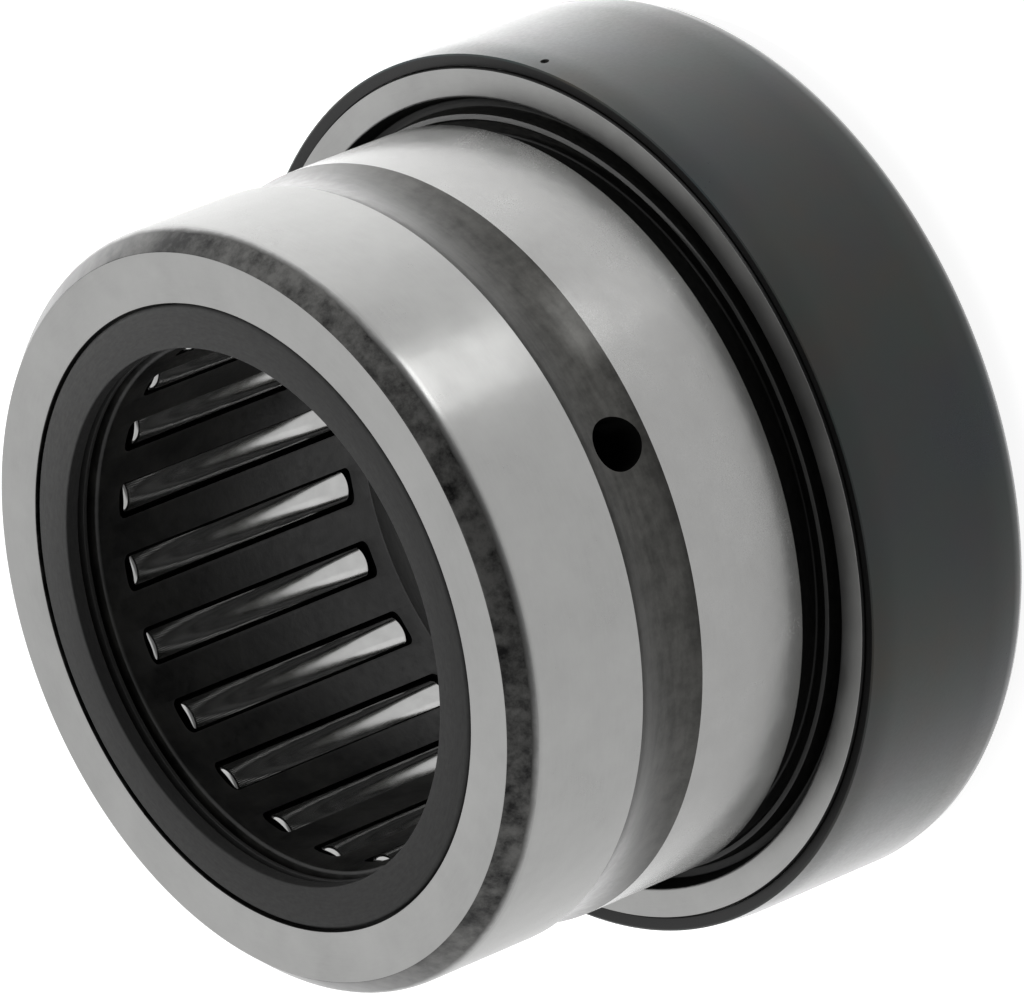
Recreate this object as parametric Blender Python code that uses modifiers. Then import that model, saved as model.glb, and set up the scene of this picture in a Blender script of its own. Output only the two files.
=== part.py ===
"""Combined needle roller and axial roller bearing with a sheet-steel end cap, size 25.

The bearing's axis is +Z. The shaft washer's seat lies at z = 0 and the needle end's face at the
top. Lengths are metres. The lubrication hole points along -Y.
"""
from math import cos, pi, radians, sin

import bmesh
import bpy
from mathutils import Matrix

MM = 0.001

# Driving dimensions
HEIGHT = 30.0 * MM                      # needle-end face to washer seat
OUTER_RADIUS = 18.5 * MM                # ground outer cylinder
RACEWAY_RADIUS = 15.05 * MM             # needle raceway, with its running clearance
NEEDLE_PITCH_RADIUS = 13.75 * MM
NEEDLE_RADIUS = 1.24 * MM
NEEDLE_LENGTH = 13.8 * MM
NEEDLE_COUNT = 22
NEEDLE_PHASE = radians(84.0)            # azimuth of the first needle
NEEDLE_MIDDLE = HEIGHT - 10.15 * MM     # height of the needles' middles

FLANGE_TOP = 11.0 * MM                  # housing shoulder face
FLANGE_THICKNESS = 3.0 * MM
FLANGE_RADIUS = 20.8 * MM
RIB_RADIUS = 13.2 * MM                  # bore of the rib between the two rows

END_RING_BORE = 13.1 * MM
CAGE_BORE = 12.8 * MM
CAGE_RADIUS = 14.8 * MM
CAGE_TOP = HEIGHT - 1.7 * MM
CAGE_BOTTOM = HEIGHT - 18.3 * MM
POCKET_RADIUS = 1.30 * MM
POCKET_LENGTH = 14.0 * MM

THRUST_ROLLER_COUNT = 14
THRUST_ROLLER_RADIUS = 2.47 * MM
THRUST_ROLLER_LENGTH = 5.0 * MM
THRUST_PITCH_RADIUS = 16.9 * MM
THRUST_MIDDLE = 5.5 * MM                # height of the thrust rollers' axes
THRUST_CAGE_BORE = 13.4 * MM
THRUST_CAGE_RADIUS = 20.3 * MM
THRUST_CAGE_THICKNESS = 4.2 * MM
THRUST_POCKET = 5.2 * MM

SHAFT_RADIUS = 12.5 * MM
WASHER_RADIUS = 20.4 * MM
WASHER_HUB_RADIUS = 17.2 * MM
WASHER_DISC_BOTTOM = 2.0 * MM
WASHER_TOP = 3.0 * MM

CAP_RADIUS = 21.6 * MM
CAP_SHEET = 0.7 * MM
CAP_TOP = FLANGE_TOP - 0.05 * MM
CAP_BOTTOM = 1.0 * MM
CAP_LIP_RADIUS = 17.6 * MM

OIL_HOLE_RADIUS = 1.3 * MM
OIL_HOLE_HEIGHT = HEIGHT - 9.5 * MM

RING_SEGMENTS = 96
NEEDLE_SEGMENTS = 12
ROLLER_SEGMENTS = 12
POCKET_SEGMENTS = 16
CAGE_SEGMENTS = 4 * NEEDLE_COUNT
THRUST_CAGE_SEGMENTS = 4 * THRUST_ROLLER_COUNT
SMOOTH_ANGLE = radians(40.0)


def clear_scene():
    """Remove every object and collection from the open scene."""
    for thing in list(bpy.data.objects):
        bpy.data.objects.remove(thing, do_unlink=True)
    for collection in list(bpy.data.collections):
        bpy.data.collections.remove(collection)


def new_collection(name):
    collection = bpy.data.collections.new(name)
    bpy.context.scene.collection.children.link(collection)
    return collection


def steel(name, colour, roughness, metallic=1.0):
    """Return a Principled BSDF material."""
    material = bpy.data.materials.new(name)
    material.use_nodes = True
    shader = material.node_tree.nodes["Principled BSDF"]
    shader.inputs["Base Color"].default_value = (*colour, 1.0)
    shader.inputs["Roughness"].default_value = roughness
    shader.inputs["Metallic"].default_value = metallic
    material.diffuse_color = (*colour, 1.0)
    return material


def place(name, mesh, collection, material):
    """Make a smooth-shaded object from a mesh and link it to a collection."""
    mesh.shade_smooth()
    if material is not None and not mesh.materials:
        mesh.materials.append(material)
    thing = bpy.data.objects.new(name, mesh)
    collection.objects.link(thing)
    return thing


def mesh_from(name, form):
    """Turn a bmesh into a mesh with sharp edges marked by angle."""
    mesh = bpy.data.meshes.new(name)
    form.to_mesh(mesh)
    form.free()
    mesh.set_sharp_from_angle(angle=SMOOTH_ANGLE)
    return mesh


def arc(centre_r, centre_z, radius, start, end, steps):
    """Points of a profile arc from one angle to another, in degrees from +r towards +z."""
    points = []
    for step in range(steps + 1):
        angle = radians(start + (end - start) * step / steps)
        points.append((centre_r + radius * cos(angle), centre_z + radius * sin(angle)))
    return points


def turned(name, profile, segments, collection, material):
    """Turn a closed profile of (radius, height) points, which runs down its outer side."""
    mesh = bpy.data.meshes.new(name)
    points = [(radius, 0.0, height) for radius, height in profile]
    edges = [(i, (i + 1) % len(points)) for i in range(len(points))]
    mesh.from_pydata(points, edges, [])
    thing = place(name, mesh, collection, material)
    screw = thing.modifiers.new("turn", "SCREW")
    screw.axis = "Z"
    screw.angle = 2.0 * pi
    screw.steps = segments
    screw.render_steps = segments
    screw.use_merge_vertices = True
    screw.merge_threshold = 0.00001
    screw.use_smooth_shade = True
    return thing


def chamfered_pin(name, radius, length, chamfer, segments):
    """A cylinder along Z about its own middle, with both end edges chamfered."""
    form = bmesh.new()
    bmesh.ops.create_cone(
        form, cap_ends=True, segments=segments, radius1=radius, radius2=radius, depth=length
    )
    rims = [edge for edge in form.edges if abs(edge.verts[0].co.z - edge.verts[1].co.z) < 1e-7]
    bmesh.ops.bevel(form, geom=rims, offset=chamfer, segments=1, affect="EDGES")
    return mesh_from(name, form)


def around(count, phase):
    """Azimuths of equally spaced pieces."""
    return [phase + 2.0 * pi * i / count for i in range(count)]


def cut(target, cutter, collection):
    """Cut a hidden cutter out of the target."""
    collection.objects.link(cutter)
    cutter.hide_render = True
    cutter.display_type = "WIRE"
    boolean = target.modifiers.new("cut_" + cutter.name, "BOOLEAN")
    boolean.operation = "DIFFERENCE"
    boolean.solver = "EXACT"
    boolean.object = cutter


def make_outer_ring(parts, cutters, material):
    """Ground ring with oil groove, grinding relief, housing flange and inner rib."""
    snap_groove_radius = 15.45 * MM
    snap_groove_top = HEIGHT - 0.35 * MM
    snap_groove_bottom = HEIGHT - 1.15 * MM
    mouth_radius = 15.15 * MM
    chamfer = 0.95 * MM
    chamfer_length = 1.15 * MM
    groove_top = HEIGHT - 7.46 * MM
    groove_bottom = HEIGHT - 11.15 * MM
    groove_depth = 0.35 * MM
    groove_wall = 0.25 * MM
    relief_top = FLANGE_TOP + 1.58 * MM
    relief_depth = 0.9 * MM
    ridge_radius = 18.35 * MM
    relief_radius = 19.6 * MM
    flange_bottom = FLANGE_TOP - FLANGE_THICKNESS
    edge = 0.2 * MM
    raceway_bottom = FLANGE_TOP + 0.4 * MM
    profile = [
        (mouth_radius, HEIGHT),
        (OUTER_RADIUS - chamfer, HEIGHT),
        (OUTER_RADIUS, HEIGHT - chamfer_length),
        (OUTER_RADIUS, groove_top),
        (OUTER_RADIUS - groove_depth, groove_top - groove_wall),
        (OUTER_RADIUS - groove_depth, groove_bottom + groove_wall),
        (OUTER_RADIUS, groove_bottom),
        (OUTER_RADIUS, relief_top),
        (OUTER_RADIUS - relief_depth, relief_top - groove_wall),
        (OUTER_RADIUS - relief_depth, FLANGE_TOP + 0.3 * MM),
        (ridge_radius, FLANGE_TOP),
        (ridge_radius + groove_wall, FLANGE_TOP - relief_depth),
        (relief_radius - groove_wall, FLANGE_TOP - relief_depth),
        (relief_radius, FLANGE_TOP),
        (FLANGE_RADIUS, FLANGE_TOP),
        (FLANGE_RADIUS, flange_bottom + edge),
        (FLANGE_RADIUS - edge, flange_bottom),
        (RIB_RADIUS + edge, flange_bottom),
        (RIB_RADIUS, flange_bottom + edge),
        (RIB_RADIUS, raceway_bottom),
        (RACEWAY_RADIUS, raceway_bottom),
        (RACEWAY_RADIUS, snap_groove_bottom),
        (snap_groove_radius, snap_groove_bottom),
        (snap_groove_radius, snap_groove_top),
        (mouth_radius, snap_groove_top),
    ]
    ring = turned("outer_ring", profile, RING_SEGMENTS, parts, material)
    form = bmesh.new()
    bmesh.ops.create_cone(
        form, cap_ends=True, segments=ROLLER_SEGMENTS, radius1=OIL_HOLE_RADIUS,
        radius2=OIL_HOLE_RADIUS, depth=10.0 * MM, matrix=Matrix.Rotation(pi / 2.0, 4, "X")
    )
    drill = bpy.data.objects.new("oil_hole_drill", mesh_from("oil_hole_drill", form))
    drill.location = (0.0, -OUTER_RADIUS, OIL_HOLE_HEIGHT)
    cut(ring, drill, cutters)
    return ring


def make_end_ring(parts, material):
    """Retaining ring whose bead sits in the outer ring's groove at the needle end."""
    bead_radius = 15.4 * MM
    bead_top = HEIGHT - 0.4 * MM
    bead_bottom = HEIGHT - 1.1 * MM
    body_radius = 15.0 * MM
    top = HEIGHT - 0.05 * MM
    bottom = HEIGHT - 1.35 * MM
    edge = 0.25 * MM
    profile = [
        (END_RING_BORE, top - edge),
        (END_RING_BORE + edge, top),
        (body_radius - edge, top),
        (body_radius, top - edge),
        (body_radius, bead_top),
        (bead_radius, bead_top - 0.05 * MM),
        (bead_radius, bead_bottom),
        (body_radius, bead_bottom),
        (body_radius, bottom),
        (END_RING_BORE, bottom),
    ]
    return turned("end_ring", profile, RING_SEGMENTS, parts, material)


def make_needle_cage(parts, cutters, material):
    """Cage sleeve whose round pockets stay narrower than a needle at both faces."""
    edge = 0.15 * MM
    profile = [
        (CAGE_BORE, CAGE_TOP),
        (CAGE_RADIUS - edge, CAGE_TOP),
        (CAGE_RADIUS, CAGE_TOP - edge),
        (CAGE_RADIUS, CAGE_BOTTOM),
        (CAGE_BORE, CAGE_BOTTOM),
    ]
    cage = turned("needle_cage", profile, CAGE_SEGMENTS, parts, material)
    cage.rotation_euler.z = NEEDLE_PHASE
    form = bmesh.new()
    for angle in around(NEEDLE_COUNT, NEEDLE_PHASE):
        seat = Matrix.Rotation(angle, 4, "Z") @ Matrix.Translation(
            (NEEDLE_PITCH_RADIUS, 0.0, NEEDLE_MIDDLE)
        )
        bmesh.ops.create_cone(
            form, cap_ends=True, segments=POCKET_SEGMENTS, radius1=POCKET_RADIUS,
            radius2=POCKET_RADIUS, depth=POCKET_LENGTH, matrix=seat
        )
    pockets = bpy.data.objects.new("needle_pockets", mesh_from("needle_pockets", form))
    cut(cage, pockets, cutters)
    return cage


def make_needles(parts, material):
    """Needle rollers, each about its own middle."""
    mesh = chamfered_pin(
        "needle", NEEDLE_RADIUS, NEEDLE_LENGTH, 0.3 * MM, NEEDLE_SEGMENTS
    )
    for number, angle in enumerate(around(NEEDLE_COUNT, NEEDLE_PHASE), start=1):
        needle = place("needle_%02d" % number, mesh, parts, material)
        needle.location = (
            NEEDLE_PITCH_RADIUS * cos(angle), NEEDLE_PITCH_RADIUS * sin(angle), NEEDLE_MIDDLE
        )
        needle.rotation_euler.z = angle


def make_thrust_cage(parts, cutters, material):
    """Flat cage ring with a through pocket for each thrust roller."""
    top = THRUST_MIDDLE + THRUST_CAGE_THICKNESS / 2.0
    bottom = THRUST_MIDDLE - THRUST_CAGE_THICKNESS / 2.0
    profile = [
        (THRUST_CAGE_BORE, top),
        (THRUST_CAGE_RADIUS, top),
        (THRUST_CAGE_RADIUS, bottom),
        (THRUST_CAGE_BORE, bottom),
    ]
    cage = turned("thrust_cage", profile, THRUST_CAGE_SEGMENTS, parts, material)
    form = bmesh.new()
    for angle in around(THRUST_ROLLER_COUNT, 0.0):
        size = Matrix.Diagonal((THRUST_POCKET, THRUST_POCKET, 2.0 * THRUST_CAGE_THICKNESS, 1.0))
        seat = Matrix.Rotation(angle, 4, "Z") @ Matrix.Translation(
            (THRUST_PITCH_RADIUS, 0.0, THRUST_MIDDLE)
        )
        bmesh.ops.create_cube(form, size=1.0, matrix=seat @ size)
    pockets = bpy.data.objects.new("thrust_pockets", mesh_from("thrust_pockets", form))
    cut(cage, pockets, cutters)
    return cage


def make_thrust_rollers(parts, material):
    """Axial rollers lying radially, each about its own middle."""
    mesh = chamfered_pin(
        "thrust_roller", THRUST_ROLLER_RADIUS, THRUST_ROLLER_LENGTH, 0.3 * MM, ROLLER_SEGMENTS
    )
    for number, angle in enumerate(around(THRUST_ROLLER_COUNT, 0.0), start=1):
        roller = place("thrust_roller_%02d" % number, mesh, parts, material)
        roller.location = (
            THRUST_PITCH_RADIUS * cos(angle), THRUST_PITCH_RADIUS * sin(angle), THRUST_MIDDLE
        )
        roller.rotation_euler = (0.0, pi / 2.0, angle)


def make_shaft_washer(parts, material):
    """Thrust washer with a raceway disc and the hub that stands on the shaft shoulder."""
    edge = 0.3 * MM
    profile = [
        (SHAFT_RADIUS + edge, WASHER_TOP),
        (WASHER_RADIUS - edge, WASHER_TOP),
        (WASHER_RADIUS, WASHER_TOP - edge),
        (WASHER_RADIUS, WASHER_DISC_BOTTOM),
        (WASHER_HUB_RADIUS, WASHER_DISC_BOTTOM),
        (WASHER_HUB_RADIUS, edge),
        (WASHER_HUB_RADIUS - edge, 0.0),
        (SHAFT_RADIUS + edge, 0.0),
        (SHAFT_RADIUS, edge),
        (SHAFT_RADIUS, WASHER_TOP - edge),
    ]
    return turned("shaft_washer", profile, RING_SEGMENTS, parts, material)


def make_end_cap(parts, material):
    """Drawn sheet cap round the flange, turned in behind the shaft washer."""
    bend = 1.2 * MM
    rim_edge = 0.15 * MM
    inner_radius = CAP_RADIUS - CAP_SHEET
    profile = [(inner_radius, CAP_TOP), (CAP_RADIUS - rim_edge, CAP_TOP)]
    profile.append((CAP_RADIUS, CAP_TOP - rim_edge))
    profile += arc(CAP_RADIUS - bend, CAP_BOTTOM + bend, bend, 0.0, -90.0, 4)
    profile += [(CAP_LIP_RADIUS, CAP_BOTTOM), (CAP_LIP_RADIUS, CAP_BOTTOM + CAP_SHEET)]
    profile += arc(CAP_RADIUS - bend, CAP_BOTTOM + bend, bend - CAP_SHEET, -90.0, 0.0, 3)
    return turned("end_cap", profile, RING_SEGMENTS, parts, material)


def main():
    clear_scene()
    parts = new_collection("needle_roller_bearing")
    cutters = new_collection("cutters")
    ground = steel("ground_steel", (0.55, 0.55, 0.54), 0.32)
    blackened = steel("blackened_steel", (0.05, 0.055, 0.06), 0.45)
    cage_steel = steel("cage_steel", (0.04, 0.04, 0.045), 0.40)
    polished = steel("polished_steel", (0.70, 0.70, 0.70), 0.15)
    ring_steel = steel("ring_steel", (0.08, 0.08, 0.08), 0.50)
    washer_steel = steel("washer_steel", (0.50, 0.50, 0.50), 0.28)

    make_outer_ring(parts, cutters, ground)
    make_end_ring(parts, ring_steel)
    make_needle_cage(parts, cutters, cage_steel)
    make_needles(parts, polished)
    make_thrust_cage(parts, cutters, cage_steel)
    make_thrust_rollers(parts, polished)
    make_shaft_washer(parts, washer_steel)
    make_end_cap(parts, blackened)


main()
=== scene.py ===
"""Looks of the combined needle roller and axial roller bearing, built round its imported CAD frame.

The bearing's axis is +Z, with the shaft washer's seat at z = 0 and the needle end on top.
Sizes of the bearing are millimetres, and become metres where a mesh is made or a piece is placed.
The stage, which is the floor, world, lights and camera, is in metres.
"""

from math import atan2, ceil, cos, hypot, pi, radians, sin, tan

import bmesh
import bpy
from mathutils import Matrix, Vector


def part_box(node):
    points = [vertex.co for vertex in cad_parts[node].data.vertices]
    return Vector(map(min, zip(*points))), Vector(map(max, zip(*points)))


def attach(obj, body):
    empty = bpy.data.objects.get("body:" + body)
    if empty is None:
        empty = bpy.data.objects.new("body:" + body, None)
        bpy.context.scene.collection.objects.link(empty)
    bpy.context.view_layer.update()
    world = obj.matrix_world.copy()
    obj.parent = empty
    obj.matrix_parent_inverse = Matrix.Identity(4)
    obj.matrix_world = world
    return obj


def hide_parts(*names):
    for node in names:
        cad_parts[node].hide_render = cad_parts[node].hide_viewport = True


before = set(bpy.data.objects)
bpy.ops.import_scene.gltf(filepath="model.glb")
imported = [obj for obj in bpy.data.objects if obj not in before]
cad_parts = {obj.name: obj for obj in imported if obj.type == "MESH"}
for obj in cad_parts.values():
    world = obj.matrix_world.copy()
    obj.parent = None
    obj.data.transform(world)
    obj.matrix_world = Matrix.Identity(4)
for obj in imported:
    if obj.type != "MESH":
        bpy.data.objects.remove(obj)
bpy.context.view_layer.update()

MM = 0.001
HOUSING = "housing_side"
NEEDLES = sorted(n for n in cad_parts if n.startswith("needle_") and n != "needle_cage")
THRUST_ROLLERS = sorted(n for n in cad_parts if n.startswith("thrust_roller_"))


def cad_size(node):
    """Outer radius, lowest height and highest height of a round CAD node."""
    low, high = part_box(node)
    return high[0] / MM, low[2] / MM, high[2] / MM


def cad_middle(node):
    """Middle of a CAD node's box, in metres."""
    low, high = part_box(node)
    return (Vector(low) + Vector(high)) / 2.0


# Sizes read from the frame
FLANGE_RADIUS, FLANGE_BACK, TOP = cad_size("outer_ring")     # TOP is the needle-end face
CAP_RADIUS, CAP_BACK, CAP_RIM = cad_size("end_cap")
WASHER_RADIUS, WASHER_SEAT, WASHER_TOP = cad_size("shaft_washer")

# Sizes that the frame does not give
FLANGE_FACE = FLANGE_BACK + 3.0                  # housing shoulder
OUTER = 18.5                                     # ground cylinder
RACEWAY = 15.01                                  # needle raceway
CHAMFER = 1.15                                   # height of the needle end's chamfer
BORE_RADIUS = 12.5                               # shaft washer's bore
RIB_RADIUS = 13.2                                # flange's bore
NEEDLE_RADIUS = 1.25
NEEDLE_PITCH = 13.75
FIRST_NEEDLE = radians(84.0)

GROOVE_TOP = TOP - 7.50
GROOVE_WIDTH = 3.60
GROOVE_LIP = 0.02
GROOVE_DEPTH = 0.35
GROOVE_STEPS = 8
OIL_HOLE_RADIUS = 1.3
OIL_HOLE_HEIGHT = TOP - 9.5

RING_STEPS = 320
POCKET_STEPS = 16                                # steps of a cage's ring for each of its pockets
FILLET_STEPS = 4
PIN_EDGE_STEPS = 6
SHARP = radians(30.0)


# ---------------------------------------------------------------- meshes

def fillet(before, corner, after, radius):
    """Points of the arc that rounds a profile corner."""
    p = Vector(corner)
    a = (Vector(before) - p).normalized()
    b = (Vector(after) - p).normalized()
    half = a.angle(b) / 2.0
    reach = radius / tan(half)
    centre = p + (a + b).normalized() * (radius / sin(half))
    start = p + a * reach - centre
    end = p + b * reach - centre
    turn = start.angle_signed(end)
    points = []
    for i in range(FILLET_STEPS + 1):
        angle = -turn * i / FILLET_STEPS
        c, s = cos(angle), sin(angle)
        points.append((centre.x + start.x * c - start.y * s, centre.y + start.x * s + start.y * c))
    return points


def rounded(corners):
    """Round a closed outline of (radius, height, fillet, surface of the edge that follows)."""
    points, surfaces = [], []
    half = FILLET_STEPS // 2
    for i, (r, z, radius, surface) in enumerate(corners):
        before = corners[i - 1]
        after = corners[(i + 1) % len(corners)]
        if radius <= 0.0:
            points.append((r, z))
            surfaces.append(surface)
            continue
        points += fillet(before[:2], (r, z), after[:2], radius)
        surfaces += [before[3]] * half + [surface] * (FILLET_STEPS - half + 1)
    return points, surfaces


def split_long(points, surfaces, longest):
    """Cut the outline's long straight stretches so that faces stay short."""
    slack = 0.001                                # keeps a stretch of just the longest length whole
    out_points, out_surfaces = [], []
    for i, (point, surface) in enumerate(zip(points, surfaces)):
        after = points[(i + 1) % len(points)]
        run, rise = after[0] - point[0], after[1] - point[1]
        parts = max(1, ceil(hypot(run, rise) / longest - slack))
        for k in range(parts):
            out_points.append((point[0] + run * k / parts, point[1] + rise * k / parts))
            out_surfaces.append(surface)
    return out_points, out_surfaces


def new_piece(name, mesh, materials):
    """Put a mesh into the scene under a name."""
    for material in materials:
        mesh.materials.append(material)
    piece = bpy.data.objects.new(name, mesh)
    bpy.context.scene.collection.objects.link(piece)
    return piece


def revolve(name, corners, materials, steps=RING_STEPS, longest=2.0):
    """Turn a closed outline about Z. Its corners run down the outer side, top to bottom."""
    names = list(materials)
    points, surfaces = rounded(corners)
    points, surfaces = split_long(points, surfaces, longest)
    count = len(points)
    vertices = []
    for angle in around(steps, 0.0):
        c, s = cos(angle) * MM, sin(angle) * MM
        vertices += [(r * c, r * s, z * MM) for r, z in points]
    faces, slots = [], []
    for j in range(steps):
        near, far = j * count, (j + 1) % steps * count
        for i in range(count):
            k = (i + 1) % count
            faces.append((near + i, near + k, far + k, far + i))
            slots.append(names.index(surfaces[i]))
    mesh = bpy.data.meshes.new(name)
    mesh.from_pydata(vertices, [], faces)
    mesh.polygons.foreach_set("material_index", slots)
    mesh.shade_smooth()
    mesh.set_sharp_from_angle(angle=SHARP)
    return new_piece(name, mesh, [materials[n] for n in names])


def pin_mesh(name, radius, length, edge, steps, dome=0.0):
    """A roller along Z about its own middle, with rounded end edges and faintly domed ends."""
    half = length / 2.0
    flat = radius - edge
    upper = []
    for i in range(PIN_EDGE_STEPS + 1):
        angle = pi / 2.0 * i / PIN_EDGE_STEPS
        upper.append((flat + edge * cos(angle), half - edge + edge * sin(angle)))
    upper += [(flat * 0.66, half + dome * 0.55), (flat * 0.33, half + dome * 0.9)]
    side = [(radius, (half - edge) * t) for t in (0.5, 0.0, -0.5)]
    rings = upper[::-1] + side + [(r, -z) for r, z in upper]
    vertices = [(0.0, 0.0, (half + dome) * MM)]
    for r, z in rings:
        vertices += [(r * cos(angle) * MM, r * sin(angle) * MM, z * MM) for angle in around(steps, 0.0)]
    vertices.append((0.0, 0.0, -(half + dome) * MM))
    last = len(vertices) - 1
    faces = []
    for j in range(steps):
        k = (j + 1) % steps
        faces.append((0, 1 + j, 1 + k))
        for i in range(len(rings) - 1):
            a = 1 + i * steps
            b = a + steps
            faces.append((a + j, b + j, b + k, a + k))
        a = 1 + (len(rings) - 1) * steps
        faces.append((a + j, last, a + k))
    mesh = bpy.data.meshes.new(name)
    mesh.from_pydata(vertices, [], faces)
    mesh.shade_smooth()
    return mesh


def cut(piece, tool, material):
    """Cut the closed shapes of a bmesh out of a piece. The faces of the cut get the material."""
    mesh = bpy.data.meshes.new(piece.name + "_cutter")
    tool.to_mesh(mesh)
    tool.free()
    mesh.materials.append(material)
    cutter = new_piece(mesh.name, mesh, [])
    boolean = piece.modifiers.new("cut", "BOOLEAN")
    boolean.operation = "DIFFERENCE"
    boolean.solver = "EXACT"
    boolean.material_mode = "TRANSFER"
    boolean.object = cutter
    graph = bpy.context.evaluated_depsgraph_get()
    result = bpy.data.meshes.new_from_object(piece.evaluated_get(graph))
    piece.modifiers.clear()
    piece.data = result
    bpy.data.objects.remove(cutter)
    result.shade_smooth()
    result.set_sharp_from_angle(angle=SHARP)


def around(count, phase):
    """Evenly spaced angles of one full turn."""
    return [phase + 2.0 * pi * i / count for i in range(count)]


def seat(angle, radius, height):
    """Matrix of a place at an angle round the axis, with its X pointing outwards."""
    return Matrix.Rotation(angle, 4, "Z") @ Matrix.Translation((radius * MM, 0.0, height * MM))


# ---------------------------------------------------------------- materials

class Nodes:
    """Small helper that adds and links shader nodes of one material."""

    MIX_FIRST, MIX_SECOND, MIX_RESULT = 6, 7, 2  # colour sockets of the mix node

    def __init__(self, name):
        self.material = bpy.data.materials.new(name)
        self.material.use_nodes = True
        self.tree = self.material.node_tree
        self.shader = self.tree.nodes["Principled BSDF"]
        self.coords = self.tree.nodes.new("ShaderNodeTexCoord").outputs["Object"]

    def give(self, socket, value):
        """Link a socket to another one, or set it to a fixed value."""
        if isinstance(value, bpy.types.NodeSocket):
            self.tree.links.new(value, socket)
        else:
            socket.default_value = value

    def add(self, kind, inputs=None, **settings):
        node = self.tree.nodes.new(kind)
        for key, value in settings.items():
            setattr(node, key, value)
        for key, value in (inputs or {}).items():
            self.give(node.inputs[key], value)
        return node

    def math(self, operation, a, b=0.0):
        return self.add("ShaderNodeMath", {0: a, 1: b}, operation=operation).outputs[0]

    def split(self):
        """The three object coordinates, in metres."""
        return self.add("ShaderNodeSeparateXYZ", {0: self.coords}).outputs

    def turned(self, around_scale, across_scale):
        """Coordinates that run along turning marks, the same on any turned face."""
        xyz = self.split()
        x_square = self.math("MULTIPLY", xyz[0], xyz[0])
        y_square = self.math("MULTIPLY", xyz[1], xyz[1])
        square = self.math("ADD", x_square, y_square)
        radius = self.math("SQRT", self.math("ADD", square, 1e-12))
        across = self.math("MULTIPLY", self.math("ADD", radius, xyz[2]), across_scale / MM)
        x = self.math("MULTIPLY", self.math("DIVIDE", xyz[0], radius), around_scale)
        y = self.math("MULTIPLY", self.math("DIVIDE", xyz[1], radius), around_scale)
        return self.add("ShaderNodeCombineXYZ", {0: x, 1: y, 2: across}).outputs[0]

    def noise(self, vector, scale, detail, rough):
        """Cloudy noise. On plain object coordinates the scale is in waves per metre."""
        return self.add(
            "ShaderNodeTexNoise",
            {"Vector": vector, "Scale": scale, "Detail": detail, "Roughness": rough},
        ).outputs["Fac"]

    def ramp(self, value, stops):
        node = self.add("ShaderNodeValToRGB", {0: value})
        for element, (position, colour) in zip(node.color_ramp.elements, stops):
            element.position = position
            element.color = (*colour, 1.0)
        return node.outputs[0]

    def span(self, value, low, high, from_low=0.3, from_high=0.7):
        """Map a value, such as noise that stays near 0.5, onto the range from low to high."""
        return self.add(
            "ShaderNodeMapRange",
            {0: value, 1: from_low, 2: from_high, 3: low, 4: high},
        ).outputs[0]

    def mix(self, factor, a, b):
        """Mix two colours. Each is a socket or a plain (red, green, blue)."""
        node = self.add("ShaderNodeMix", {0: factor}, data_type="RGBA")
        for index, value in ((self.MIX_FIRST, a), (self.MIX_SECOND, b)):
            colour = value if isinstance(value, bpy.types.NodeSocket) else (*value, 1.0)
            self.give(node.inputs[index], colour)
        return node.outputs[self.MIX_RESULT]

    def bump(self, height, strength, depth, **more):
        """Bumps of a depth in millimetres."""
        return self.add(
            "ShaderNodeBump", {"Height": height, "Strength": strength, "Distance": depth * MM, **more}
        ).outputs[0]

    def set(self, **inputs):
        for key, value in inputs.items():
            self.give(self.shader.inputs[key.replace("_", " ")], value)
        return self.material


def grey(value):
    return (value, value, value)


def ground_steel(name, colour, roughness, anisotropy):
    """Steel ground on a cylindrical grinder: fine marks round the axis and a soft, uneven sheen."""
    n = Nodes(name)
    marks = n.noise(n.turned(2.0, 1.0), 9.0, 4.0, 0.6)
    fine = n.noise(n.turned(6.0, 1.0), 26.0, 2.0, 0.5)
    clouds = n.noise(n.coords, 240.0, 4.0, 0.6)
    specks = n.noise(n.coords, 1500.0, 3.0, 0.6)
    waves = n.noise(n.coords, 330.0, 2.0, 0.5)
    dark = tuple(c * 0.90 for c in colour)
    light = tuple(c * 1.10 for c in colour)
    shade = n.mix(n.span(clouds, 0.0, 1.0), dark, light)
    shade = n.mix(n.math("MULTIPLY", n.span(marks, 0.0, 1.0), 0.3), shade, light)
    shade = n.mix(n.math("MULTIPLY", n.span(specks, 0.0, 1.0), 0.10), shade, dark)
    fine_rough = n.span(fine, roughness - 0.03, roughness + 0.03)
    rough = n.math("ADD", fine_rough, n.span(clouds, -0.03, 0.03))
    tangent = n.add("ShaderNodeTangent", direction_type="RADIAL", axis="Z").outputs[0]
    height = n.math("ADD", marks, n.math("MULTIPLY", fine, 0.5))
    return n.set(
        Base_Color=shade, Metallic=1.0, Roughness=rough, Anisotropic=anisotropy,
        Anisotropic_Rotation=0.25, Tangent=tangent,
        Normal=n.bump(height, 0.045, 0.02, Normal=n.bump(waves, 0.5, 0.08)),
    )


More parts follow.
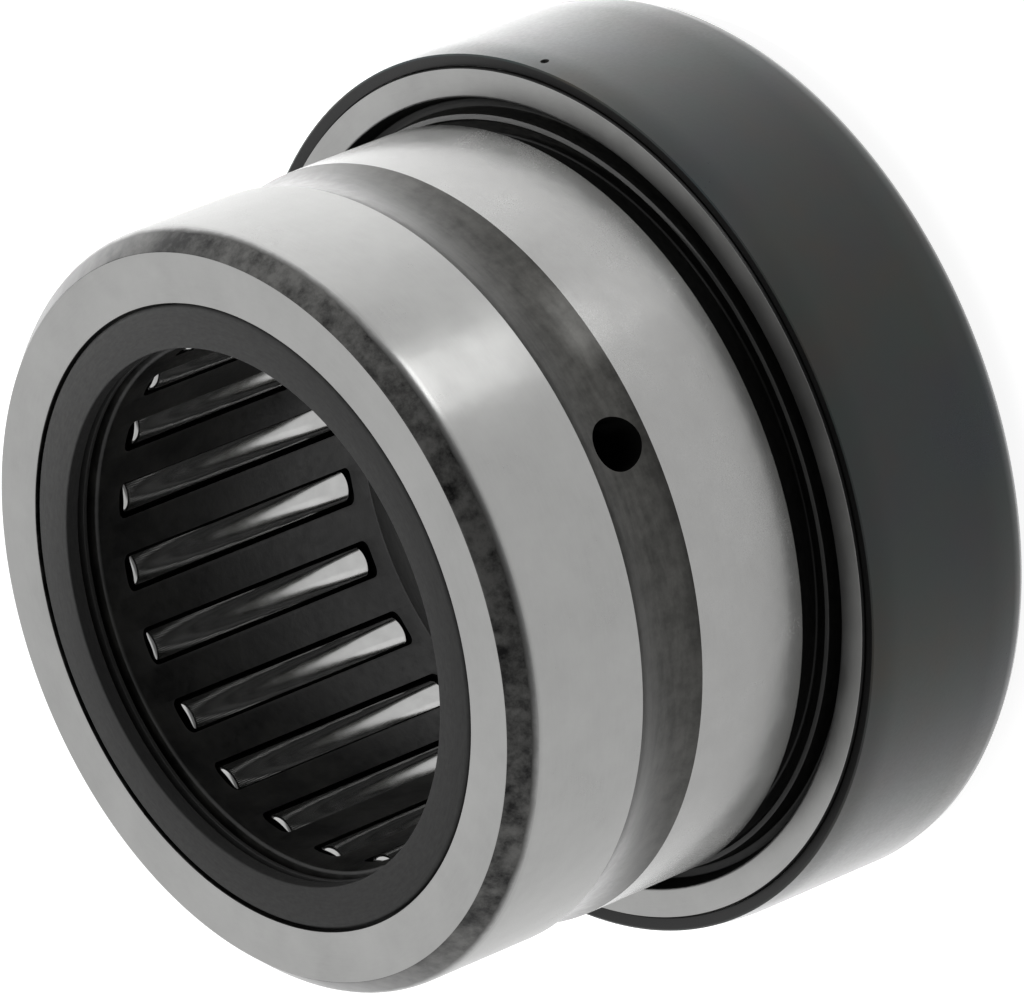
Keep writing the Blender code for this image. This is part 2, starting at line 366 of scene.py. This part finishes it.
def scale_steel(name, dark, light, roughness, blotch, oil=0.0, worn=None):
    """Hardened, unground steel with mottled heat-treatment scale.

    worn is (height, height, colour): between the two heights the scale gives way to that colour.
    """
    n = Nodes(name)
    streaks = n.noise(n.turned(3.0, 0.9), 3.0, 4.0, 0.6)
    spots = n.noise(n.coords, 1300.0, 5.0, 0.7)
    clouds = n.noise(n.coords, 320.0, 3.0, 0.6)
    mottle = n.math("ADD", n.math("MULTIPLY", spots, 0.65), n.math("MULTIPLY", clouds, 0.35))
    mottle = n.math("ADD", n.math("MULTIPLY", mottle, 0.65), n.math("MULTIPLY", streaks, 0.35))
    shade = n.ramp(mottle, [(0.5 - blotch, dark), (0.5 + blotch, light)])
    if worn:
        start, end, bare = worn
        height = n.math("DIVIDE", n.split()[2], MM)
        ragged = n.math("ADD", height, n.math("MULTIPLY", n.math("SUBTRACT", mottle, 0.5), 0.6))
        shade = n.mix(n.span(ragged, 1.0, 0.0, start, end), shade, bare)
    return n.set(
        Base_Color=shade, Metallic=1.0, Roughness=n.span(spots, roughness - 0.06, roughness + 0.06),
        Coat_Weight=oil, Coat_Roughness=0.25, Coat_IOR=1.35,
        Normal=n.bump(mottle, 0.25, 0.03),
    )


def scale_and_shade_black(name):
    """Oil-dark steel at the bottom of the grinding relief, near black: partly the relief's own scale and
    oil, partly painted shade of the recess.
    """
    n = Nodes(name)
    lines = n.noise(n.turned(3.0, 1.0), 12.0, 3.0, 0.6)
    shade = n.ramp(lines, [(0.35, grey(0.002)), (0.7, (0.006, 0.006, 0.0055))])
    return n.set(
        Base_Color=shade, Metallic=0.0, Roughness=n.span(lines, 0.30, 0.42),
        Normal=n.bump(lines, 0.3, 0.03), Specular_IOR_Level=0.18,
    )


def blackened_sheet(name):
    """Black-oxide drawn sheet with faint blue, green and brown clouds and a film of oil."""
    blue, brown, green = (0.0010, 0.0038, 0.0110), (0.0135, 0.0095, 0.0036), (0.0020, 0.0120, 0.0090)
    n = Nodes(name)
    clouds = n.noise(n.coords, 110.0, 4.0, 0.55)
    patches = n.noise(n.coords, 300.0, 3.0, 0.6)
    grain = n.noise(n.coords, 5200.0, 3.0, 0.6)
    shade = n.mix(n.span(clouds, 0.0, 1.0), blue, brown)
    shade = n.mix(n.span(patches, 0.0, 0.7), shade, green)
    rough = n.math("ADD", n.span(clouds, 0.27, 0.43), n.span(grain, -0.04, 0.04))
    return n.set(
        Base_Color=shade, Metallic=0.0, Roughness=rough, Specular_IOR_Level=0.16,
        Coat_Weight=1.0, Coat_Roughness=0.22, Coat_IOR=1.26,
        Sheen_Weight=0.40, Sheen_Roughness=0.22, Sheen_Tint=(1.0, 1.0, 1.0, 1.0),
        Normal=n.bump(grain, 0.12, 0.03),
    )


def sheared_edge_and_joint_shade(name):
    """Dark, oily cut edge of the blackened sheet. On the flange's outer chamfer the same dark material
    is painted shade of the joint under the cap's rim.
    """
    n = Nodes(name)
    grain = n.noise(n.turned(30.0, 1.0), 8.0, 3.0, 0.6)
    shade = n.ramp(grain, [(0.35, grey(0.003)), (0.7, grey(0.008))])
    return n.set(
        Base_Color=shade, Metallic=0.0, Roughness=n.span(grain, 0.30, 0.42),
        Normal=n.bump(grain, 0.2, 0.02), Specular_IOR_Level=0.30,
    )


def ring_steel(name, dark, light):
    """Dark satin steel with faint turning marks."""
    n = Nodes(name)
    marks = n.noise(n.turned(2.5, 1.0), 10.0, 4.0, 0.6)
    grain = n.noise(n.coords, 4200.0, 3.0, 0.6)
    shade = n.mix(n.span(marks, 0.0, 1.0), grey(dark), (light, light, light * 0.98))
    return n.set(
        Base_Color=shade, Metallic=0.0, Roughness=n.span(grain, 0.48, 0.60),
        Normal=n.bump(marks, 0.12, 0.03), Specular_IOR_Level=0.18,
    )


def cage_steel(name):
    """Near-black oiled steel of the needle cage and the thrust cage."""
    n = Nodes(name)
    clouds = n.noise(n.coords, 420.0, 4.0, 0.65)
    grain = n.noise(n.coords, 2600.0, 4.0, 0.65)
    height = n.math("ADD", n.math("MULTIPLY", clouds, 2.0), grain)
    shade = n.mix(n.span(clouds, 0.0, 1.0, 0.38, 0.62), grey(0.003), (0.016, 0.0157, 0.0145))
    return n.set(
        Base_Color=shade, Metallic=0.0, Roughness=n.span(grain, 0.28, 0.46),
        Normal=n.bump(height, 0.30, 0.03), Specular_IOR_Level=0.38,
    )


def polished_steel(name):
    """Superfinished steel of the rolling elements."""
    n = Nodes(name)
    haze = n.noise(n.coords, 900.0, 3.0, 0.5)
    shade = n.mix(n.span(haze, 0.0, 1.0), (0.42, 0.42, 0.415), (0.50, 0.50, 0.495))
    return n.set(Base_Color=shade, Metallic=1.0, Roughness=n.span(haze, 0.09, 0.14))


GROUND = ground_steel("ground_cylinder", (0.32, 0.32, 0.315), 0.32, 0.80)
GROUND_LOW = ground_steel("ground_cylinder_low", (0.305, 0.305, 0.300), 0.24, 0.76)
FACE = ground_steel("ground_face", (0.35, 0.35, 0.345), 0.34, 0.5)
SCALE = scale_steel(
    "heat_scale", grey(0.004), (0.105, 0.104, 0.100), 0.38, 0.09, oil=0.6,
    worn=(TOP - 1.12, TOP - 0.90, (0.28, 0.28, 0.276)),
)
GROOVE = scale_steel(
    "groove_scale", (0.017, 0.0167, 0.0148), (0.050, 0.049, 0.0455), 0.36, 0.11, oil=0.75
)
# Near-black recess material: real scale and oil plus painted shade. It also paints shade into the oil
# hole, the end ring's undercut and the staking marks.
SCALE_AND_SHADE_BLACK = scale_and_shade_black("relief_scale_and_painted_shade")
CAP = blackened_sheet("blackened_sheet")
EDGE = sheared_edge_and_joint_shade("sheared_edge_and_joint_shade")
RIB = ring_steel("rib_satin", 0.080, 0.105)
LAND = ring_steel("land_satin", 0.045, 0.058)
RING = ring_steel("ring_satin", 0.023, 0.033)
CAGE = cage_steel("cage_black")
POLISHED = polished_steel("polished_rolling")
BORE = scale_steel("bore_scale", (0.050, 0.050, 0.046), (0.090, 0.090, 0.084), 0.30, 0.15)
WASHER = ground_steel("washer_ground", (0.42, 0.42, 0.415), 0.30, 0.5)


# ---------------------------------------------------------------- pieces

def oil_groove():
    """Corners of the shallow, curved oil groove, from its upper edge to its lower one."""
    corners = []
    for i in range(GROOVE_STEPS + 1):
        across = 2.0 * i / GROOVE_STEPS - 1.0
        depth = GROOVE_LIP + (GROOVE_DEPTH - GROOVE_LIP) * (1.0 - across ** 2)
        corners.append((OUTER - depth, GROOVE_TOP - GROOVE_WIDTH * i / GROOVE_STEPS, 0.0, "groove"))
    return corners


def make_outer_ring():
    relief = OUTER - 0.9                         # undercut beside the shoulder
    trench = FLANGE_FACE - 0.90                  # second relief, in the shoulder's face
    rib_top = FLANGE_FACE + 0.4                  # where the raceway ends
    seat_low, seat_high = TOP - 1.15, TOP - 0.35     # groove that the end ring snaps into
    corners = [
        (15.12, TOP, 0.06, "face"),
        (17.56, TOP, 0.12, "scale"),
        (OUTER, TOP - CHAMFER, 0.75, "ground"),
        (OUTER, GROOVE_TOP + 0.04, 0.03, "groove"),
        *oil_groove(),
        (OUTER, GROOVE_TOP - GROOVE_WIDTH - 0.05, 0.03, "ground_low"),
        # The relief surfaces below take the near-black recess material: their scale plus painted shade
        # of the undercut and trench.
        (OUTER, FLANGE_FACE + 1.58, 0.06, "relief"),
        (relief, FLANGE_FACE + 1.33, 0.15, "relief"),
        (relief, FLANGE_FACE - 0.15, 0.15, "relief"),
        (18.22, FLANGE_FACE - 0.15, 0.08, "relief"),
        (18.32, FLANGE_FACE + 0.03, 0.03, "land"),
        (18.56, FLANGE_FACE, 0.03, "relief"),
        (18.66, trench, 0.10, "relief"),
        (19.12, trench, 0.10, "relief"),
        (19.34, FLANGE_FACE, 0.18, "face"),
        # The flange's outer chamfer takes the dark cut-edge material, and the flange's rim under the cap
        # takes the near-black recess material: both are painted shade of the joint with the cap.
        (FLANGE_RADIUS - 0.05, FLANGE_FACE, 0.03, "edge"),
        (FLANGE_RADIUS, FLANGE_FACE - 0.12, 0.03, "relief"),
        (FLANGE_RADIUS, FLANGE_BACK, 0.20, "face"),
        (RIB_RADIUS, FLANGE_BACK, 0.20, "rib"),
        (RIB_RADIUS, FLANGE_FACE - 0.30, 4.8, "rib"),
        (13.41, rib_top, 0.10, "rib"),
        (RACEWAY, rib_top, 0.10, "ground"),
        (RACEWAY, seat_low, 0.05, "scale"),
        (15.45, seat_low, 0.05, "scale"),
        (15.45, seat_high, 0.05, "scale"),
        (15.12, seat_high, 0.05, "scale"),
    ]
    materials = {
        "face": FACE, "ground": GROUND, "ground_low": GROUND_LOW, "scale": SCALE, "groove": GROOVE,
        "land": LAND, "edge": EDGE, "relief": SCALE_AND_SHADE_BLACK, "rib": RIB,
    }
    ring = revolve("outer_ring_turned", corners, materials, longest=1.0)
    place = Matrix.Translation((0.0, -OUTER * MM, OIL_HOLE_HEIGHT * MM))
    drill = bmesh.new()
    bmesh.ops.create_cone(
        drill, cap_ends=True, segments=64, radius1=OIL_HOLE_RADIUS * MM, radius2=OIL_HOLE_RADIUS * MM,
        depth=8.0 * MM, matrix=place @ Matrix.Rotation(pi / 2.0, 4, "X"),
    )
    # The oil hole's walls take the near-black recess material: painted shade inside the hole.
    cut(ring, drill, SCALE_AND_SHADE_BLACK)
    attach(ring, HOUSING)
    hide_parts("outer_ring")


def make_end_ring():
    bore, lip = 13.00, 12.96
    snap_low, snap_high = TOP - 1.08, TOP - 0.50     # bead that sits in the outer ring's groove
    undercut_low, undercut_high = TOP - 1.11, TOP - 0.80
    _, bottom, top = cad_size("end_ring")
    corners = [
        (lip, top, 0.08, "ring"),
        (15.00, top, 0.22, "ring"),
        (15.00, snap_high + 0.05, 0.0, "ring"),
        (15.38, snap_high, 0.05, "ring"),
        (15.38, snap_low, 0.05, "ring"),
        (14.99, snap_low, 0.0, "ring"),
        (14.99, bottom, 0.05, "ring"),
        (bore, bottom, 0.03, "ring"),
        (bore, undercut_low - 0.04, 0.05, "ring"),
        # The undercut in the end ring's bore takes the near-black recess material: painted shade in the
        # groove.
        (13.60, undercut_low, 0.05, "relief"),
        (13.60, undercut_high, 0.05, "relief"),
        (lip, undercut_high + 0.04, 0.05, "ring"),
    ]
    ring = revolve("end_ring_turned", corners, {"ring": RING, "relief": SCALE_AND_SHADE_BLACK})
    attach(ring, HOUSING)
    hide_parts("end_ring")


def make_end_cap():
    inner = 20.84                                # inside of the cap's wall
    bottom = CAP_BACK + 0.7                      # inside of the turned-in bottom
    lip = 17.60                                  # edge of the turned-in bottom
    corners = [
        (inner, CAP_RIM - 0.12, 0.04, "edge"),
        (21.36, CAP_RIM, 0.03, "cap"),
        (21.45, CAP_RIM - 0.04, 0.0, "cap"),
        (CAP_RADIUS, CAP_RIM - 1.00, 9.00, "cap"),
        (CAP_RADIUS, CAP_BACK, 1.15, "cap"),
        (lip, CAP_BACK, 0.08, "cap"),
        (lip, bottom, 0.08, "cap"),
        (inner, bottom, 0.50, "cap"),
    ]
    cap = revolve("end_cap_drawn", corners, {"cap": CAP, "edge": EDGE}, longest=1.5)
    mark = radians(-33.1)                        # staking mark that the photo shows
    punch = bmesh.new()
    for angle in (mark, mark + pi):
        place = seat(angle, CAP_RADIUS + 0.02, TOP - 19.78)
        bmesh.ops.create_cone(
            punch, cap_ends=True, segments=24, radius1=0.12 * MM, radius2=0.36 * MM, depth=0.6 * MM,
            matrix=place @ Matrix.Rotation(pi / 2.0, 4, "Y"),
        )
    # The staking marks' dents take the near-black recess material: painted shade in the dents.
    cut(cap, punch, SCALE_AND_SHADE_BLACK)
    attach(cap, HOUSING)
    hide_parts("end_cap")


def make_needle_cage():
    bore, outside = 12.72, 14.80
    _, low, high = cad_size("needle_cage")
    corners = [
        (bore, high, 0.20, "cage"),
        (outside, high, 0.15, "cage"),
        (outside, low, 0.15, "cage"),
        (bore, low, 0.20, "cage"),
    ]
    steps = POCKET_STEPS * len(NEEDLES)
    cage = revolve("needle_cage_sleeve", corners, {"cage": CAGE}, steps=steps, longest=20.0)
    height = cad_middle(NEEDLES[0]).z / MM
    pocket = pin_mesh("needle_pocket", 1.41, 14.1, 0.34, 48)
    pockets = bmesh.new()
    for angle in around(len(NEEDLES), FIRST_NEEDLE):
        shape = pocket.copy()
        shape.transform(seat(angle, NEEDLE_PITCH, height))
        pockets.from_mesh(shape)
    cut(cage, pockets, CAGE)
    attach(cage, "needle_cage")
    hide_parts("needle_cage")


def make_rollers(nodes, mesh, tilt, play=0.0, out=0.0):
    """Put a roller near the middle of each CAD roller and let it ride with that roller's body.

    play is how far along its axis a roller may lie off the middle: each one by its own amount.
    """
    mesh.materials.append(POLISHED)
    for index, node in enumerate(nodes):
        centre = cad_middle(node)
        angle = atan2(centre.y, centre.x)
        shift = play * sin(3.5 * index + 1.4)
        roller = new_piece(node + "_polished", mesh, [])
        roller.matrix_world = (
            Matrix.Translation(centre) @ Matrix.Rotation(angle, 4, "Z") @ Matrix.Rotation(tilt, 4, "Y")
            @ Matrix.Translation((out * MM, 0.0, shift * MM))
        )
        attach(roller, node)
        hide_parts(node)


def make_needles():
    mesh = pin_mesh("needle", NEEDLE_RADIUS - 0.02, 13.5, 0.26, 48, dome=0.04)
    make_rollers(NEEDLES, mesh, 0.0, play=0.10, out=0.02)


def make_thrust_cage():
    bore = 13.40
    radius, low, high = cad_size("thrust_cage")
    corners = [
        (bore, high, 0.15, "cage"),
        (radius, high, 0.15, "cage"),
        (radius, low, 0.15, "cage"),
        (bore, low, 0.15, "cage"),
    ]
    steps = POCKET_STEPS * len(THRUST_ROLLERS)
    cage = revolve("thrust_cage_ring", corners, {"cage": CAGE}, steps=steps, longest=8.0)
    middle = cad_middle(THRUST_ROLLERS[0]) / MM
    width, through = 5.2 * MM, 9.0 * MM
    size = Matrix.Diagonal((width, width, through, 1.0))
    pockets = bmesh.new()
    for angle in around(len(THRUST_ROLLERS), 0.0):
        made = bmesh.ops.create_cube(pockets, size=1.0, matrix=seat(angle, middle.x, middle.z) @ size)
        edges = {edge for vertex in made["verts"] for edge in vertex.link_edges}
        upright = [e for e in edges if abs(e.verts[0].co.z - e.verts[1].co.z) > through / 2.0]
        bmesh.ops.bevel(pockets, geom=upright, offset=0.25 * MM, segments=3, affect="EDGES", profile=0.5)
    cut(cage, pockets, CAGE)
    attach(cage, "thrust_cage")
    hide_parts("thrust_cage")


def make_thrust_rollers():
    make_rollers(THRUST_ROLLERS, pin_mesh("thrust_roller", 2.49, 5.0, 0.35, 64), pi / 2.0)


def make_shaft_washer():
    disc = WASHER_SEAT + 2.0                     # underside of the disc that the rollers run on
    foot = 17.20                                 # radius of the seat
    corners = [
        (BORE_RADIUS, WASHER_TOP, 0.30, "washer"),
        (WASHER_RADIUS, WASHER_TOP, 0.30, "scale"),
        (WASHER_RADIUS, disc, 0.15, "scale"),
        (foot, disc, 0.10, "scale"),
        (foot, WASHER_SEAT, 0.30, "washer"),
        (BORE_RADIUS + 0.65, WASHER_SEAT, 0.05, "bore"),
        (BORE_RADIUS, WASHER_SEAT + 0.60, 0.10, "bore"),
    ]
    washer = revolve("shaft_washer_ground", corners, {"washer": WASHER, "scale": SCALE, "bore": BORE})
    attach(washer, "shaft_washer")
    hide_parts("shaft_washer")


# ---------------------------------------------------------------- stage

CARD_RADIUS = 0.065                              # reflectors' distance from the axis
CARD_HEIGHT = 0.028
LAMP_ELEVATION = radians(60.0)
LAMP_DISTANCE = 0.5


def make_floor():
    """A pale floor just under the washer's seat, so that the two do not share a plane."""
    bpy.ops.mesh.primitive_plane_add(size=6.0, location=(0.0, 0.0, -0.02 * MM))
    floor = bpy.context.object
    floor.name = "floor"
    n = Nodes("pale_floor")
    tone = n.noise(n.coords, 3.0, 2.0, 0.5)
    floor.data.materials.append(n.set(
        Base_Color=n.mix(tone, grey(0.29), grey(0.32)), Roughness=0.9, Specular_IOR_Level=0.1,
        Emission_Color=(1.0, 1.0, 1.0, 1.0), Emission_Strength=0.90,
    ))


def make_world():
    """A soft surrounding: bright behind and to the right, dimmer to the left, dark in front."""
    world = bpy.data.worlds.new("studio")
    bpy.context.scene.world = world
    world.use_nodes = True
    tree = world.node_tree
    background = tree.nodes["Background"]
    background.inputs["Color"].default_value = (1.0, 1.0, 1.0, 1.0)
    coords = tree.nodes.new("ShaderNodeTexCoord").outputs["Generated"]

    def toward(azimuth, low, high, from_value, to_value):
        """A smooth step from one value to another for directions that turn toward an azimuth."""
        dot = tree.nodes.new("ShaderNodeVectorMath")
        dot.operation = "DOT_PRODUCT"
        tree.links.new(coords, dot.inputs[0])
        dot.inputs[1].default_value = (cos(radians(azimuth)), sin(radians(azimuth)), 0.0)
        span = tree.nodes.new("ShaderNodeMapRange")
        span.interpolation_type = "SMOOTHSTEP"
        tree.links.new(dot.outputs["Value"], span.inputs[0])
        for index, value in enumerate((low, high, from_value, to_value)):
            span.inputs[index + 1].default_value = value
        return span.outputs[0]

    side = toward(50.0, -0.6, 0.6, 0.80, 1.05)
    front = toward(-94.0, 0.30, 0.75, 1.0, 0.25)
    product = tree.nodes.new("ShaderNodeMath")
    product.operation = "MULTIPLY"
    tree.links.new(side, product.inputs[0])
    tree.links.new(front, product.inputs[1])
    tree.links.new(product.outputs[0], background.inputs["Strength"])


def place_lamp(name, data, place, outward):
    """Put a lamp at a place, shining against the outward direction."""
    lamp = bpy.data.objects.new(name, data)
    bpy.context.scene.collection.objects.link(lamp)
    lamp.matrix_world = Matrix.Translation(place) @ outward.to_track_quat("Z", "Y").to_matrix().to_4x4()
    return lamp


def reflector(name, azimuth, width, radiance):
    """An upright bright card beside the bearing that shows only in glossy surfaces."""
    data = bpy.data.lights.new(name, "AREA")
    data.shape = "RECTANGLE"
    data.size = width
    data.size_y = CARD_HEIGHT
    data.energy = radiance * pi * width * CARD_HEIGHT
    outward = Vector((cos(radians(azimuth)), sin(radians(azimuth)), 0.0))
    card = place_lamp(name, data, outward * CARD_RADIUS + Vector((0.0, 0.0, CARD_HEIGHT / 2.0)), outward)
    card.visible_camera = False
    card.visible_diffuse = False


def floor_pool(name, azimuth, radius, spread, power):
    """A soft spot that brightens the floor beside the bearing without showing in the metal."""
    data = bpy.data.lights.new(name, "SPOT")
    data.energy = power
    data.spot_size = 2.0 * atan2(spread, LAMP_DISTANCE)
    data.spot_blend = 0.7
    data.shadow_soft_size = 0.02
    level = Vector((cos(radians(azimuth)), sin(radians(azimuth)), 0.0))
    outward = level * cos(LAMP_ELEVATION) + Vector((0.0, 0.0, sin(LAMP_ELEVATION)))
    lamp = place_lamp(name, data, level * radius + outward * LAMP_DISTANCE, outward)
    lamp.visible_glossy = False


def make_lights():
    reflector("wide_card", azimuth=20.0, width=0.130, radiance=0.72)
    reflector("strip_card", azimuth=-57.5, width=0.018, radiance=3.7)
    floor_pool("floor_pool_side", azimuth=20.0, radius=0.042, spread=0.048, power=28.0)
    floor_pool("floor_pool_back", azimuth=118.0, radius=0.034, spread=0.024, power=12.0)


def make_camera():
    """The photo's view: its direction and roll, from the distance that gives its perspective."""
    azimuth, elevation, roll = radians(-3.6705), radians(37.056), radians(-111.955)
    distance = 0.61034
    target = Vector((0.54, -2.17, 15.0)) * MM
    turn = (
        Matrix.Rotation(azimuth, 4, "Z")
        @ Matrix.Rotation(pi / 2.0 - elevation, 4, "X")
        @ Matrix.Rotation(roll, 4, "Z")
    )
    data = bpy.data.cameras.new("camera")
    data.lens = 462.64
    data.sensor_width = 36.0
    data.clip_start = 0.05
    data.clip_end = 20.0
    camera = bpy.data.objects.new("camera", data)
    bpy.context.scene.collection.objects.link(camera)
    camera.matrix_world = Matrix.Translation(target) @ turn @ Matrix.Translation((0.0, 0.0, distance))
    bpy.context.scene.camera = camera
    bpy.context.scene.view_settings.view_transform = "Standard"


make_outer_ring()
make_end_ring()
make_end_cap()
make_needle_cage()
make_needles()
make_thrust_cage()
make_thrust_rollers()
make_shaft_washer()
make_floor()
make_world()
make_lights()
make_camera()
